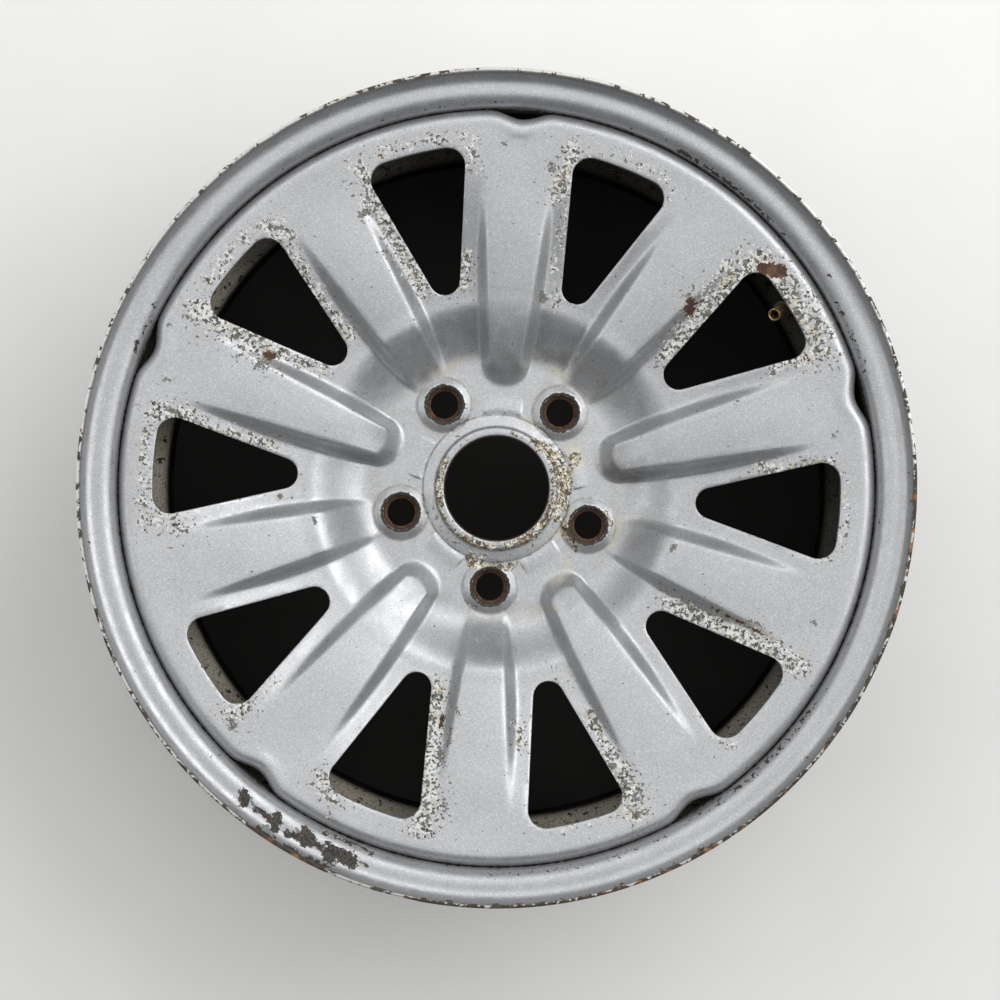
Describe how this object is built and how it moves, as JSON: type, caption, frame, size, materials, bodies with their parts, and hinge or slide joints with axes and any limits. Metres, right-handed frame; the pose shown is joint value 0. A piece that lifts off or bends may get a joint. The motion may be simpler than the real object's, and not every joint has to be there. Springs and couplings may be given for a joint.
{
  "type": "steel car wheel",
  "caption": "Bare pressed-steel car wheel with no tyre: rolled rim, spoked disc with windows, raised lug seats, centre bore and valve, worn silver paint.",
  "frame": {"origin": "centre of the hub bore, in the plane of the face that sits on the hub", "axes": "+Z along the wheel's axis to the street side, +Y along a wide spoke that lies between two lug holes"},
  "size_m": [0.4712, 0.471, 0.2],
  "materials": {
    "rim_paint": "worn silver paint, chipped to grey primer and rust at the lip",
    "disc_paint": "worn silver paint with pitted corrosion around the windows and rust at the hub",
    "weld_steel": "weld bead painted over",
    "valve_rubber": "matt black rubber",
    "valve_brass": "dull threaded brass"
  },
  "bodies": {
    "root": {"rim": "rim_paint", "disc": "disc_paint", "weld_beads": "weld_steel", "valve_body": "valve_rubber", "valve_stem": "valve_brass"}
  },
  "joints": []
}
